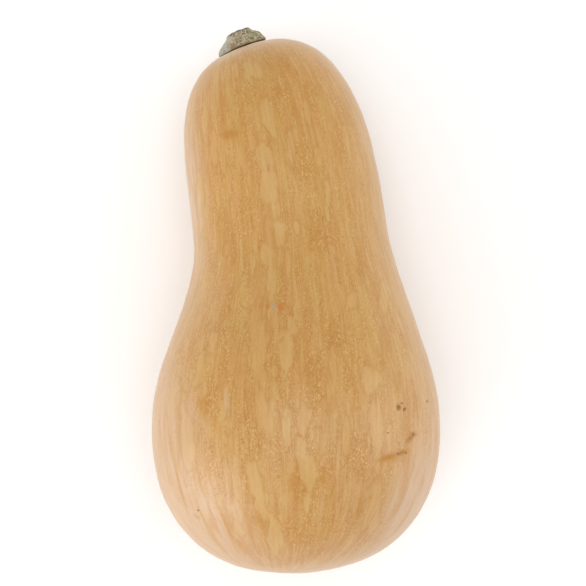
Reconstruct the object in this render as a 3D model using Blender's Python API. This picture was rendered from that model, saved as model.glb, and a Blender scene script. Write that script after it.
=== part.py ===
"""A butternut squash lying on its side: the fruit, and the dried stub of its stem.

The fruit is lofted ring by ring along its own axis, which starts at the blossom end, runs straight
through the bulb and bends gently along the neck. It is then tipped until bulb and neck both touch
the ground, where each has a small flat spot. +Y points to the stem end and +Z up.
"""

from math import cos, exp, pi, radians, sin

import bmesh
import bpy
from mathutils import Matrix, Vector

# Fruit sizes, in metres, measured along its axis from the blossom end
LENGTH = 0.2236
BULB_RADIUS = 0.0593
BULB_AT = 0.0618
NECK_RADIUS = 0.0407
NECK_AT = 0.1412
SHOULDER_AT = 0.1440
BLOSSOM_SQUARENESS = 2.36
SHOULDER_SQUARENESS = 2.98

# The neck's bend, towards -X
BEND_AT = 0.093
BEND_RADIUS = 0.445

# Slow waves that keep the skin from being a turned shape: turns round the fruit, share of the
# radius, phase, and how fast each wave drifts along the axis in radians per metre
WAVES = (
    (2, 0.0060, 0.7, 9.0),
    (3, 0.0035, 2.1, -14.0),
    (5, 0.0020, 0.4, 5.0),
)
RIB_COUNT = 10
RIB_DEPTH = 0.0022

# The seat of the stem lies off the axis and turned: across the bend, up, and the two turns
SEAT_RADIUS = 0.0117
SEAT_SHIFT = (-0.0038, 0.0020)
SEAT_YAW = radians(4.4)
SEAT_RISE = radians(9.5)

# Blossom scar: a small corky button in a shallow dimple, a little off the axis and turned down
SCAR_SHIFT = (-0.0072, -0.0130)
SCAR_YAW = radians(-2.2)
SCAR_DROP = radians(9.0)
DIMPLE_DEPTH = 0.0016
DIMPLE_RADIUS = 0.0085
BUTTON_HEIGHT = 0.0011
BUTTON_RADIUS = 0.0036

# Ground spots: how far the round skin is flattened under the bulb and under the neck
BULB_FLAT_DEPTH = 0.0012
NECK_FLAT_DEPTH = 0.0007

# Stem, measured from its seat on the fruit
SEAT_GAP = 0.0003
STEM_HEIGHT = 0.0082
STEM_CUT_RADIUS = 0.0046
STEM_BASE_RADIUS = 0.0110
STEM_LIP = 0.0008
STEM_LIP_INSET = 0.0004
STEM_GROOVE = 0.84
STEM_FLARE = 0.8
STEM_PITH_DEPTH = 0.0009
STEM_PITH_RIM_DEPTH = 0.0003
STEM_PITH_SHARE = 0.55
STEM_LEAN = 0.0014
# Each lobe's turn round the stem, and how full it bulges above the straight cone
LOBES = (
    (radians(-20), 1.0),
    (radians(52), 0.45),
    (radians(125), 0.30),
    (radians(195), 0.10),
    (radians(262), 0.25),
)
LOBE_SHOULDER_HEIGHT = 0.0074

# Fineness of the faces
FRUIT_SIDES = 64
FRUIT_RINGS = 52
SCAR_RINGS = (0.0012, 0.0024, 0.0036, 0.0048, 0.0065, 0.0090, 0.0125)
STEM_SIDES = 60
STEM_RINGS = 12
SHARP_ANGLE = radians(40)

# Searches: how often a range is halved, the fine steps a length is measured in, the steepest pitch
HALVINGS = 40
RUN_STEPS = 4000
STEEPEST = radians(25)

SKIN_COLOUR = (0.604, 0.340, 0.125, 1.0)
SKIN_ROUGHNESS = 0.45
STEM_COLOUR = (0.350, 0.310, 0.205, 1.0)
STEM_ROUGHNESS = 0.85


def smoothstep(t):
    t = min(1.0, max(0.0, t))
    return t * t * (3 - 2 * t)


def squared_arc(t, squareness):
    """A quarter arc from 1 at t = 0 to 0 at t = 1, squarer than a circle above 2."""
    return (1 - min(1.0, t) ** squareness) ** (1 / squareness)


def outline_radius(along):
    """The fruit's mean radius at a distance along its axis."""
    if along < BULB_AT:
        return BULB_RADIUS * squared_arc((BULB_AT - along) / BULB_AT, BLOSSOM_SQUARENESS)
    waist = smoothstep((along - BULB_AT) / (NECK_AT - BULB_AT))
    radius = BULB_RADIUS + (NECK_RADIUS - BULB_RADIUS) * waist
    if along > SHOULDER_AT:
        radius *= squared_arc((along - SHOULDER_AT) / (LENGTH - SHOULDER_AT), SHOULDER_SQUARENESS)
    return radius


def axis_frame(along):
    """The axis there, as a matrix: X across the neck's bend, Y along the axis, Z up."""
    turn = max(0.0, along - BEND_AT) / BEND_RADIUS
    place = Vector(
        (
            -BEND_RADIUS * (1 - cos(turn)),
            min(along, BEND_AT) + BEND_RADIUS * sin(turn),
            0,
        )
    )
    return Matrix.Translation(place) @ Matrix.Rotation(turn, 4, "Z")


def ring_frame(along):
    """The frame that a ring of skin lies in: the axis there, leaning over to the scar or the seat."""
    radius = outline_radius(along)
    if along < BULB_AT:
        share = 1 - radius / BULB_RADIUS
        across, up, yaw, rise = *SCAR_SHIFT, SCAR_YAW, SCAR_DROP
    elif along > SHOULDER_AT:
        share = (1 - radius / NECK_RADIUS) / (1 - SEAT_RADIUS / NECK_RADIUS)
        across, up, yaw, rise = *SEAT_SHIFT, SEAT_YAW, SEAT_RISE
    else:
        return axis_frame(along)
    weight = max(0.0, share) ** 2
    shift = Matrix.Translation((weight * across, 0, weight * up))
    turn = Matrix.Rotation(weight * yaw, 4, "Z") @ Matrix.Rotation(weight * rise, 4, "X")
    return axis_frame(along) @ shift @ turn


def unevenness(along, angle):
    """Share by which the skin stands out of the mean radius: ribs and slow waves, none at the ends."""
    inside = smoothstep(outline_radius(along) / NECK_RADIUS)
    waves = sum(
        share * cos(turns * angle + phase + drift * along) for turns, share, phase, drift in WAVES
    )
    return inside * (waves + RIB_DEPTH * cos(RIB_COUNT * angle))


def scar_inset(radius):
    """How far the blossom end is drawn in along the axis at a distance from its centre."""
    dimple = DIMPLE_DEPTH * exp(-((radius / DIMPLE_RADIUS) ** 2))
    button = BUTTON_HEIGHT * (1 - smoothstep(radius / BUTTON_RADIUS))
    return dimple - button


def skin_point(along, angle):
    """A point of the fruit's skin before it is laid down."""
    radius = outline_radius(along)
    inset = scar_inset(radius) if along < BULB_AT else 0.0
    radius *= 1 + unevenness(along, angle)
    return ring_frame(along) @ Vector((radius * cos(angle), inset, radius * sin(angle)))


def along_at_radius(wanted, low, high):
    """Where between low and high the outline, rising or falling, has the wanted radius."""
    rising = outline_radius(high) > outline_radius(low)
    for _ in range(HALVINGS):
        middle = (low + high) / 2
        if (outline_radius(middle) < wanted) == rising:
            low = middle
        else:
            high = middle
    return (low + high) / 2


def ring_places():
    """Distances along the axis of all rings: set radii at the scar, then even steps of skin."""
    scar = [along_at_radius(radius, 0.0, BULB_AT) for radius in SCAR_RINGS]
    seat = along_at_radius(SEAT_RADIUS, SHOULDER_AT, LENGTH)
    fine = [scar[-1] + (seat - scar[-1]) * i / RUN_STEPS for i in range(RUN_STEPS + 1)]
    run = [0.0]
    for before, after in zip(fine, fine[1:]):
        rise = outline_radius(after) - outline_radius(before)
        run.append(run[-1] + ((after - before) ** 2 + rise**2) ** 0.5)
    even = []
    for i in range(1, FRUIT_RINGS + 1):
        wanted = run[-1] * i / FRUIT_RINGS
        even.append(next((place for place, far in zip(fine, run) if far >= wanted), seat))
    return scar + even


def lowest(places, tip):
    """The lowest height that these rings reach once the fruit is tipped by the matrix."""
    angles = [2 * pi * i / FRUIT_SIDES for i in range(FRUIT_SIDES)]
    return min((tip @ skin_point(along, angle)).z for along in places for angle in angles)


def laying_matrix(places):
    """Tips the stem end down until bulb and neck are both sunk in the ground by their flats."""
    bulb = [along for along in places if along < BEND_AT]
    neck = [along for along in places if along > NECK_AT]
    steep, shallow = STEEPEST, 0.0
    for _ in range(HALVINGS):
        pitch = (steep + shallow) / 2
        tip = Matrix.Rotation(-pitch, 4, "X")
        clearance = lowest(neck, tip) - lowest(bulb, tip)
        if clearance > BULB_FLAT_DEPTH - NECK_FLAT_DEPTH:
            shallow = pitch
        else:
            steep = pitch
    return Matrix.Translation((0, 0, -lowest(bulb, tip) - BULB_FLAT_DEPTH)) @ tip


def new_object(name, mesh_data, colour, roughness):
    """Makes a mesh object of the bmesh, smooth but for its sharp edges, with its own material."""
    bmesh.ops.recalc_face_normals(mesh_data, faces=mesh_data.faces)
    mesh = bpy.data.meshes.new(name)
    mesh_data.to_mesh(mesh)
    mesh_data.free()
    mesh.shade_smooth()
    mesh.set_sharp_from_angle(angle=SHARP_ANGLE)
    material = bpy.data.materials.new(name)
    material.use_nodes = True
    shader = material.node_tree.nodes["Principled BSDF"]
    shader.inputs["Base Color"].default_value = colour
    shader.inputs["Roughness"].default_value = roughness
    mesh.materials.append(material)
    made = bpy.data.objects.new(name, mesh)
    bpy.context.scene.collection.objects.link(made)
    return made


def bridge(mesh_data, rings):
    """Joins neighbouring rings of equal length with four-sided faces."""
    for lower, upper in zip(rings, rings[1:]):
        count = len(lower)
        for i in range(count):
            j = (i + 1) % count
            mesh_data.faces.new((lower[i], lower[j], upper[j], upper[i]))


def fan(mesh_data, ring, centre):
    """Closes a ring with triangles to one point."""
    tip = mesh_data.verts.new(centre)
    for i, vertex in enumerate(ring):
        mesh_data.faces.new((vertex, ring[(i + 1) % len(ring)], tip))


def on_ground(point):
    """What would lie below the ground is pressed flat onto it."""
    return Vector((point.x, point.y, max(0.0, point.z)))


def make_fruit(places, lay):
    fruit = bmesh.new()
    rings = []
    for along in places:
        angles = (2 * pi * i / FRUIT_SIDES for i in range(FRUIT_SIDES))
        rings.append([fruit.verts.new(on_ground(lay @ skin_point(along, a))) for a in angles])
    bridge(fruit, rings)
    fan(fruit, rings[0], lay @ ring_frame(0) @ Vector((0, scar_inset(0), 0)))
    fruit.faces.new(rings[-1])
    return new_object("fruit", fruit, SKIN_COLOUR, SKIN_ROUGHNESS)


def lobe_at(angle):
    """How full the lobe there is, and how near its crest, from 0 in a groove to 1 on the crest."""
    turns = [turn for turn, _ in LOBES]
    for i, (turn, fullness) in enumerate(LOBES):
        away = (angle - turn + pi) % (2 * pi) - pi
        other = turns[(i + 1) % len(turns)] if away > 0 else turns[i - 1]
        gap = abs((other - turn + pi) % (2 * pi) - pi)
        if abs(away) <= gap / 2:
            return fullness, cos(pi * away / gap) ** 2
    return 0.0, 0.0


def stem_radius(height, angle):
    """The stem's lobed section: grooves cone in to the cut, and each lobe has its own bulge."""
    share = max(0.0, height - STEM_LIP) / (STEM_HEIGHT - STEM_LIP)
    cone = STEM_BASE_RADIUS + (STEM_CUT_RADIUS - STEM_BASE_RADIUS) * share**STEM_FLARE
    rise = min(1.0, height / LOBE_SHOULDER_HEIGHT)
    shoulder = max(cone, STEM_BASE_RADIUS * (1 - rise**2) ** 0.5)
    fullness, crest = lobe_at(angle)
    ridge = cone + (shoulder - cone) * fullness
    groove = cone * (STEM_GROOVE + (1 - STEM_GROOVE) * share)
    return groove + (ridge - groove) * crest


def make_stem(seat_frame):
    """The stub, in its own frame: Z is its axis, and the seat is at Z = 0."""
    stem = bmesh.new()
    heights = [0.0, STEM_LIP]
    heights += [STEM_LIP + (STEM_HEIGHT - STEM_LIP) * i / STEM_RINGS for i in range(1, STEM_RINGS + 1)]
    angles = [2 * pi * i / STEM_SIDES for i in range(STEM_SIDES)]
    rings = []
    for height in heights:
        radii = [stem_radius(height, angle) for angle in angles]
        if height == 0.0:
            radii = [radius - STEM_LIP_INSET for radius in radii]
        middle = STEM_LEAN * height / STEM_HEIGHT
        rings.append(
            [
                stem.verts.new((middle + r * cos(a), r * sin(a), height))
                for r, a in zip(radii, angles)
            ]
        )
    pith = [
        stem.verts.new(
            (
                STEM_PITH_SHARE * vertex.co.x,
                STEM_PITH_SHARE * vertex.co.y,
                STEM_HEIGHT - STEM_PITH_RIM_DEPTH,
            )
        )
        for vertex in rings[-1]
    ]
    bridge(stem, rings + [pith])
    stem.faces.new(rings[0])
    fan(stem, pith, (0, 0, STEM_HEIGHT - STEM_PITH_DEPTH))
    made = new_object("stem", stem, STEM_COLOUR, STEM_ROUGHNESS)
    upright = Matrix.Rotation(-pi / 2, 4, "X")
    made.matrix_world = seat_frame @ upright @ Matrix.Translation((0, 0, SEAT_GAP))
    return made


def centre_over_origin(objects):
    """Moves all objects so that the middle of their common box is over the origin."""
    bpy.context.view_layer.update()
    corners = [made.matrix_world @ vertex.co for made in objects for vertex in made.data.vertices]
    middle_x = (min(c.x for c in corners) + max(c.x for c in corners)) / 2
    middle_y = (min(c.y for c in corners) + max(c.y for c in corners)) / 2
    for made in objects:
        made.matrix_world = Matrix.Translation((-middle_x, -middle_y, 0)) @ made.matrix_world


def main():
    for leftover in list(bpy.data.objects):
        bpy.data.objects.remove(leftover)
    places = ring_places()
    lay = laying_matrix(places)
    fruit = make_fruit(places, lay)
    stem = make_stem(lay @ ring_frame(places[-1]))
    centre_over_origin([fruit, stem])


main()
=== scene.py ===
# %% [markdown]
# # A butternut squash, from a plain sphere to a ripe rind
# This lesson dresses a butternut squash that lies on its side: one big fruit, and the dried stub
# of its stalk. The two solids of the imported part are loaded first. They say how big everything is
# and where it sits, so each new piece is fitted to its solid and then takes its place. All sizes
# are in metres. +Y points to the stem end and +Z up.

from math import pi, radians

import bmesh
import bpy
import numpy as np
from mathutils import Euler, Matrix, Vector


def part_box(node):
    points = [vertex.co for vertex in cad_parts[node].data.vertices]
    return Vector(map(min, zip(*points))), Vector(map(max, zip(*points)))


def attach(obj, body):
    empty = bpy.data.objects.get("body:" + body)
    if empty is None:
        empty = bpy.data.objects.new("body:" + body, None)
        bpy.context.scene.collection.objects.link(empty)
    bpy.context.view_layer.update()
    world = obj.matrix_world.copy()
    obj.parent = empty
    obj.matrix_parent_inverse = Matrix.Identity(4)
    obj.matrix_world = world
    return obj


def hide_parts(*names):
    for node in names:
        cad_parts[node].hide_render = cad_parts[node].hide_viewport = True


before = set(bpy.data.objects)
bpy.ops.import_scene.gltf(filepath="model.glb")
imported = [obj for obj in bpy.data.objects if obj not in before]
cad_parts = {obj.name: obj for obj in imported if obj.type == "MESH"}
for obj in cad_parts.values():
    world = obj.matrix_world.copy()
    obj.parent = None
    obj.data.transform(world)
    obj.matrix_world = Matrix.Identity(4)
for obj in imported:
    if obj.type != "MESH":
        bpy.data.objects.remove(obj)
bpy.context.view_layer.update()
fruit_low, fruit_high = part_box("fruit")
print("fruit from", tuple(fruit_low), "to", tuple(fruit_high))

# %% [markdown]
# ## The camera
# The picture looks straight down on the fruit, with the stem end at the top. A long lens keeps
# the bulb, which is nearer, from swelling against the neck. A new camera looks down -Z with +Y
# upwards, so it needs a place and no turn at all.

# %% Camera
CAMERA_PLACE = (-0.0013, 0.0009, 0.73)
CAMERA_LENS = 100
SENSOR_WIDTH = 36

bpy.ops.object.select_all(action="DESELECT")
bpy.ops.object.camera_add(location=CAMERA_PLACE, rotation=(0, 0, 0))
camera = bpy.context.object
camera.data.lens = CAMERA_LENS
camera.data.sensor_width = SENSOR_WIDTH
bpy.context.scene.camera = camera
print("camera", CAMERA_PLACE[2], "m above the ground")

# %% [markdown]
# ## The studio
# Fruit on white is photographed in a bright, even room: a pale floor, white all round, and one
# large soft lamp that is a little stronger than the rest. Here it stands low on the left, past
# the bulb, and leaves a broad pale sheen there. A weaker one fills the right side, and one hangs
# over the camera.

# %% Floor and light
FLOOR_SIZE = 6.0
FLOOR_COLOUR = (0.97, 0.97, 0.97, 1)
FLOOR_ROUGHNESS = 0.9
ROOM_LIGHT = 0.84
# name, place, size and power in watts
LAMPS = (
    ("key lamp", (-0.80, -0.56, 0.34), 0.75, 4.5),
    ("fill lamp", (0.94, 0.05, 0.40), 0.6, 2.0),
    ("top lamp", (0, 0.1, 1.6), 1.0, 5.6),
)


def soft_lamp(name, place, size, power):
    """A square area lamp that faces the middle of the fruit."""
    bpy.ops.object.light_add(type="AREA", location=place)
    lamp = bpy.context.object
    lamp.name = name
    lamp.data.size = size
    lamp.data.energy = power
    middle = (fruit_low + fruit_high) / 2
    lamp.rotation_euler = (middle - Vector(place)).to_track_quat("-Z", "Y").to_euler()


bpy.ops.mesh.primitive_plane_add(size=FLOOR_SIZE)
floor = bpy.context.object
floor.name = "floor"
paper = bpy.data.materials.new("white paper")
paper.use_nodes = True
paper_shader = paper.node_tree.nodes["Principled BSDF"]
paper_shader.inputs["Base Color"].default_value = FLOOR_COLOUR
paper_shader.inputs["Roughness"].default_value = FLOOR_ROUGHNESS
floor.data.materials.append(paper)

for row in LAMPS:
    soft_lamp(*row)

room = bpy.data.worlds.new("white room")
room.use_nodes = True
room.node_tree.nodes["Background"].inputs["Color"].default_value = (1, 1, 1, 1)
room.node_tree.nodes["Background"].inputs["Strength"].default_value = ROOM_LIGHT
bpy.context.scene.world = room
bpy.context.scene.view_settings.view_transform = "Standard"

# %% [markdown]
# ## The fruit: rings on a sphere
# A squash could be carved out of a block or turned like a bottle, but its skin runs lengthwise:
# every streak on it starts at the blossom scar and ends at the stalk. A UV sphere is built the
# same way, with its lines running from pole to pole, so it makes the best start. Its rings are
# then pushed along, widened and tilted one by one, as a potter shapes a pot. The stations below
# say how far along the middle line each ring lies, how wide the fruit is there, where its middle
# is, and how it turns: the dip of the neck towards the ground, and its bend to the left.

# %% Stations along the fruit
# along, radius, middle x, y, z, dip and bend in degrees
STATIONS = np.array(
    [
        (0.0000, 0.00000, -0.00736, -0.11503, 0.05516, 0.5, -2.2),
        (0.0020, 0.01975, -0.00336, -0.11187, 0.06196, 5.5, -1.0),
        (0.0050, 0.02871, -0.00207, -0.10853, 0.06375, 7.1, -0.6),
        (0.0100, 0.03758, -0.00112, -0.10332, 0.06462, 8.2, -0.3),
        (0.0200, 0.04785, -0.00043, -0.09325, 0.06422, 9.1, -0.1),
        (0.0350, 0.05565, -0.00019, -0.07838, 0.06219, 9.4, 0.0),
        (0.0500, 0.05879, -0.00016, -0.06357, 0.05977, 9.5, 0.0),
        (0.0628, 0.05929, -0.00016, -0.05095, 0.05767, 9.5, 0.0),
        (0.0750, 0.05793, -0.00016, -0.03891, 0.05566, 9.5, 0.0),
        (0.0900, 0.05393, -0.00016, -0.02412, 0.05320, 9.5, 0.0),
        (0.1050, 0.04877, -0.00032, -0.00932, 0.05073, 9.4, 1.5),
        (0.1200, 0.04397, -0.00098, 0.00546, 0.04827, 9.4, 3.4),
        (0.1350, 0.04102, -0.00214, 0.02021, 0.04582, 9.4, 5.3),
        (0.1500, 0.04069, -0.00380, 0.03491, 0.04337, 9.4, 7.2),
        (0.1650, 0.04044, -0.00597, 0.04955, 0.04093, 9.3, 9.2),
        (0.1800, 0.03937, -0.00864, 0.06411, 0.03851, 9.3, 11.1),
        (0.1950, 0.03670, -0.01187, 0.07857, 0.03613, 9.0, 13.0),
        (0.2050, 0.03325, -0.01442, 0.08812, 0.03464, 8.5, 14.5),
        (0.2130, 0.02853, -0.01689, 0.09566, 0.03360, 7.4, 16.0),
        (0.2190, 0.02212, -0.01938, 0.10118, 0.03316, 5.1, 17.8),
        (0.2225, 0.01389, -0.02198, 0.10415, 0.03357, 0.8, 20.2),
        (0.2229, 0.01170, -0.02264, 0.10445, 0.03381, -0.7, 20.9),
        (0.2229, 0.00000, -0.02264, 0.10445, 0.03381, -0.7, 20.9),
    ]
)
STEM_SEAT = Vector((-0.0226, 0.1045, 0.0338))
SEAT_RADIUS = 0.0117

# how far over the skin each station lies from the blossom end
steps = np.hypot(np.diff(STATIONS[:, 0]), np.diff(STATIONS[:, 1]))
skin_run = np.concatenate([[0], np.cumsum(steps)])
print("skin from pole to pole", round(skin_run[-1], 4), "m")

# %% [markdown]
# The rings don't need to be evenly spaced. The scar at the blossom end and the rim round the
# stalk have small shapes, so the rings lie a millimetre or two apart there and about 5 mm apart
# elsewhere.

# %% Where the rings go
SCAR_RINGS = (0.0012, 0.0024, 0.0036, 0.0050, 0.0070, 0.0100, 0.0140)
SEAT_RINGS = (0.0205, 0.0175, 0.0155, 0.0140, 0.0128, 0.0120, 0.0113, 0.0075)
EVEN_STEP = 0.0049

even_from, even_to = SCAR_RINGS[-1], skin_run[-1] - SEAT_RINGS[0]
even_count = round((even_to - even_from) / EVEN_STEP)
even_rings = np.linspace(even_from, even_to, even_count + 1)[1:-1]
ring_runs = [*SCAR_RINGS, *even_rings, *(skin_run[-1] - run for run in SEAT_RINGS)]
ring_stations = [
    [np.interp(run, skin_run, STATIONS[:, column]) for column in range(STATIONS.shape[1])]
    for run in ring_runs
]
print(len(ring_runs), "rings")

# %% [markdown]
# A sphere of the bulb's size is added where the bulb is, with its poles turned to the ends of the
# fruit. In edit mode a ring is selected, scaled, turned and moved, and then the next one. Before
# that, each point notes its place round and along the fruit in an attribute called grain. The
# materials read it later: it lets a streak follow the bent neck, and it has no seam.

# %% A sphere, and its grain
ROUND_COUNT = 88
GRAIN_RADIUS = 0.05
BULB_PLACE = Vector((0, -0.0510, 0.0577))
BULB_RADIUS = 0.0593


def select_only(piece):
    """Makes this piece the active one, and the only one selected."""
    bpy.ops.object.select_all(action="DESELECT")
    piece.select_set(True)
    bpy.context.view_layer.objects.active = piece


def lone_edit(piece):
    """Opens this piece alone for editing by vertices, with nothing in it selected."""
    select_only(piece)
    bpy.ops.object.mode_set(mode="EDIT")
    bpy.ops.mesh.select_mode(type="VERT")
    bpy.ops.mesh.select_all(action="DESELECT")


def pick(piece, indices):
    """In edit mode, selects these vertices and nothing else."""
    bpy.ops.mesh.select_all(action="DESELECT")
    shape = bmesh.from_edit_mesh(piece.data)
    shape.verts.ensure_lookup_table()
    for index in indices:
        shape.verts[index].select_set(True)
    shape.select_flush(True)
    bmesh.update_edit_mesh(piece.data)


bpy.ops.object.select_all(action="DESELECT")
bpy.ops.mesh.primitive_uv_sphere_add(
    segments=ROUND_COUNT,
    ring_count=len(ring_runs) + 1,
    radius=BULB_RADIUS,
    location=BULB_PLACE,
    rotation=(radians(-90), 0, 0),
)
fruit = bpy.context.object
fruit.name = "squash_fruit"
bpy.ops.object.transform_apply(location=True, rotation=True, scale=True)

# the rings, from the blossom end: the points sorted by how far along the sphere they lie
places = np.array([vertex.co for vertex in fruit.data.vertices])
order = np.argsort(places[:, 1]).tolist()
blossom_pole, stem_pole = order[:1], order[-1:]
rings = [order[start : start + ROUND_COUNT] for start in range(1, len(order) - 1, ROUND_COUNT)]
print(len(rings), "rings of", ROUND_COUNT, "points")

# %% Note the grain
grain = np.zeros((len(places), 3))
for ring, run in zip(rings, ring_runs):
    spokes = places[ring] - BULB_PLACE
    spokes[:, 1] = 0
    spokes /= np.linalg.norm(spokes, axis=1)[:, None]
    grain[ring] = GRAIN_RADIUS * spokes
    grain[ring, 1] = run
grain[stem_pole, 1] = skin_run[-1]
print("grain noted for", len(grain), "points")
fruit.data.attributes.new("grain", "FLOAT_VECTOR", "POINT").data.foreach_set(
    "vector", grain.ravel()
)


# %% Shape the rings
def turn(angle, axis, about):
    """Turns what is selected by the right-hand rule, as rotate turns the other way here."""
    bpy.ops.transform.rotate(value=-angle, orient_axis=axis, center_override=about)


lone_edit(fruit)
for ring, station in zip(rings, ring_stations):
    _, radius, x, y, z, dip, bend = station
    middle = Vector(places[ring].mean(axis=0))
    old_radius = (Vector(places[ring[0]]) - middle).length
    pick(fruit, ring)
    bpy.ops.transform.resize(value=(radius / old_radius,) * 3, center_override=middle)
    turn(radians(-dip), "X", middle)
    turn(radians(bend), "Z", middle)
    bpy.ops.transform.translate(value=Vector((x, y, z)) - middle)
for pole, station in ((blossom_pole, STATIONS[0]), (stem_pole, STATIONS[-1])):
    pick(fruit, pole)
    bpy.ops.transform.translate(value=Vector(station[2:5]) - Vector(places[pole[0]]))
bpy.ops.object.mode_set(mode="OBJECT")
print("shaped fruit", tuple(round(side, 4) for side in fruit.dimensions))

# %% [markdown]
# ## Settling the skin
# The rings are round, but the solid's sections are not quite: slow waves run round it, and it is
# pressed flat where it touches the ground. So the new skin is laid onto the solid with a
# Shrinkwrap modifier. The solid is made of flat facets, which would show through as a ripple, so
# the skin is wrapped onto a smoothed copy of it. That copy is a pattern, and is thrown away
# afterwards.

# %% A smooth pattern of the solid
MERGE_GAP = 1e-6
SMOOTH_LEVELS = 2


def apply_modifier(piece, name, kind, **settings):
    """Adds a modifier with these settings and applies it at once."""
    select_only(piece)
    modifier = piece.modifiers.new(name, kind)
    for setting, value in settings.items():
        setattr(modifier, setting, value)
    bpy.ops.object.modifier_apply(modifier=name)


def smooth(piece):
    """Splits every face finer and rounds the piece."""
    apply_modifier(piece, "smooth", "SUBSURF", levels=SMOOTH_LEVELS, render_levels=SMOOTH_LEVELS)


def smooth_pattern(solid, seat_faces):
    """A merged, smoothed copy of a solid, without the faces that seat_faces says yes to."""
    pattern = bpy.data.objects.new(solid + "_pattern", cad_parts[solid].data.copy())
    bpy.context.scene.collection.objects.link(pattern)
    lone_edit(pattern)
    bpy.ops.mesh.select_all(action="SELECT")
    bpy.ops.mesh.remove_doubles(threshold=MERGE_GAP)
    bpy.ops.mesh.tris_convert_to_quads()
    bpy.ops.mesh.select_mode(type="FACE")
    bpy.ops.mesh.select_all(action="DESELECT")
    shape = bmesh.from_edit_mesh(pattern.data)
    for face in shape.faces:
        if seat_faces(face):
            face.select_set(True)
    bmesh.update_edit_mesh(pattern.data)
    bpy.ops.mesh.delete(type="FACE")
    bpy.ops.object.mode_set(mode="OBJECT")
    smooth(pattern)
    return pattern


def settle(piece, pattern, **settings):
    """Lays a piece onto its pattern, and throws the pattern away."""
    settings |= {"target": pattern, "wrap_method": "NEAREST_SURFACEPOINT"}
    apply_modifier(piece, "settle", "SHRINKWRAP", **settings)
    bpy.data.objects.remove(pattern)


SEAT_SLACK = 1.02


def under_stem(face):
    """The flat seat on the fruit that the stem hides."""
    reach = SEAT_RADIUS * SEAT_SLACK
    return all((corner.co - STEM_SEAT).length < reach for corner in face.verts)


fruit_pattern = smooth_pattern("fruit", under_stem)
print("pattern of", len(fruit_pattern.data.polygons), "faces")

# %% Lay the skin onto it
skin = fruit.vertex_groups.new(name="open skin")
open_rings = [ring for ring, station in zip(rings, ring_stations) if station[1] > SEAT_RADIUS]
skin.add([index for ring in open_rings for index in ring] + blossom_pole, 1.0, "REPLACE")
settle(fruit, fruit_pattern, vertex_group=skin.name)
smooth(fruit)
print("fruit of", len(fruit.data.polygons), "faces")

# %% [markdown]
# ## Hand-grown, not turned
# A real rind has shallow dents and swellings a few centimetres across, too faint to see straight
# on but plain in how the light runs over it. A Displace modifier with a soft cloud texture gives
# them. What that pushes into the ground is pressed flat again, as the fruit's own weight does.

# %% Shallow dents
DENT_SIZE, DENT_DEPTH = 0.024, 0.0007
PUCKER_SIZE, PUCKER_DEPTH = 0.006, 0.00016


def dent(piece, name, size, depth):
    """Moves the skin in and out by soft clouds of this size."""
    clouds = bpy.data.textures.new(name, "CLOUDS")
    clouds.noise_scale = size
    apply_modifier(
        piece, name, "DISPLACE", texture=clouds, texture_coords="LOCAL", strength=depth
    )


def press_flat(piece):
    """Scales all that lies below the ground to height zero."""
    low = [vertex.index for vertex in piece.data.vertices if vertex.co.z < 0]
    lone_edit(piece)
    if low:
        pick(piece, low)
        bpy.ops.transform.resize(value=(1, 1, 0), center_override=(0, 0, 0))
    bpy.ops.object.mode_set(mode="OBJECT")
    return len(low)


dent(fruit, "dents", DENT_SIZE, DENT_DEPTH)
dent(fruit, "puckers", PUCKER_SIZE, PUCKER_DEPTH)
print(press_flat(fruit), "points pressed flat on the ground")
bpy.ops.object.shade_smooth()

# %% [markdown]
# ## The stem: a stub drawn up from a disc
# What is left of the stalk is a short, dry, five-sided cone, cut across at the top. It could be a
# cylinder squeezed thinner, but drawing it up ring by ring from its foot gives every ring its own
# width, and the cut end comes out of the last ring with two insets. It is made upright at the
# origin, then laid onto its seat, which leans out from the neck.

# %% Draw the stem up
STEM_ROUND = 60
STEM_LEAN = 0.0014
STEM_HEIGHT = 0.0082
# height and radius of each ring
STEM_RINGS = (
    (0.0008, 0.0110),
    (0.0018, 0.0104),
    (0.0030, 0.0094),
    (0.0042, 0.0083),
    (0.0054, 0.0071),
    (0.0064, 0.0062),
    (0.0073, 0.0053),
    (0.0079, 0.0048),
    (STEM_HEIGHT, 0.0044),
)
STEM_FOOT_RADIUS = 0.0106
STEM_PLACE = Vector((-0.02274, 0.10474, 0.03381))
STEM_TURN = Euler((radians(-89.33), radians(3.40), radians(20.87)))

bpy.ops.object.select_all(action="DESELECT")
bpy.ops.mesh.primitive_circle_add(
    vertices=STEM_ROUND, radius=STEM_FOOT_RADIUS, fill_type="NGON", location=(0, 0, 0)
)
stem = bpy.context.object
stem.name = "squash_stem"
bpy.ops.object.mode_set(mode="EDIT")
bpy.ops.mesh.select_all(action="SELECT")
height, radius = 0.0, STEM_FOOT_RADIUS
for next_height, next_radius in STEM_RINGS:
    lean = STEM_LEAN * (next_height - height) / STEM_HEIGHT
    bpy.ops.mesh.extrude_region_move(
        TRANSFORM_OT_translate={"value": (lean, 0, next_height - height)}
    )
    bpy.ops.transform.resize(
        value=(next_radius / radius,) * 2 + (1,),
        center_override=(STEM_LEAN * next_height / STEM_HEIGHT, 0, next_height),
    )
    height, radius = next_height, next_radius
print("stem drawn up to", height)

# %% The cut end
RIM_WIDTH, PITH_DEPTH = 0.0007, 0.0007
PITH_WIDTH = 0.0016

bpy.ops.mesh.inset(thickness=RIM_WIDTH)
bpy.ops.mesh.inset(thickness=PITH_WIDTH)
bpy.ops.transform.translate(value=(0, 0, -PITH_DEPTH))
bpy.ops.mesh.poke()
bpy.ops.object.mode_set(mode="OBJECT")
stem.location = STEM_PLACE
stem.rotation_euler = STEM_TURN
bpy.ops.object.transform_apply(location=True, rotation=True, scale=True)
print("stem", tuple(round(side, 4) for side in stem.dimensions))

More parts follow.
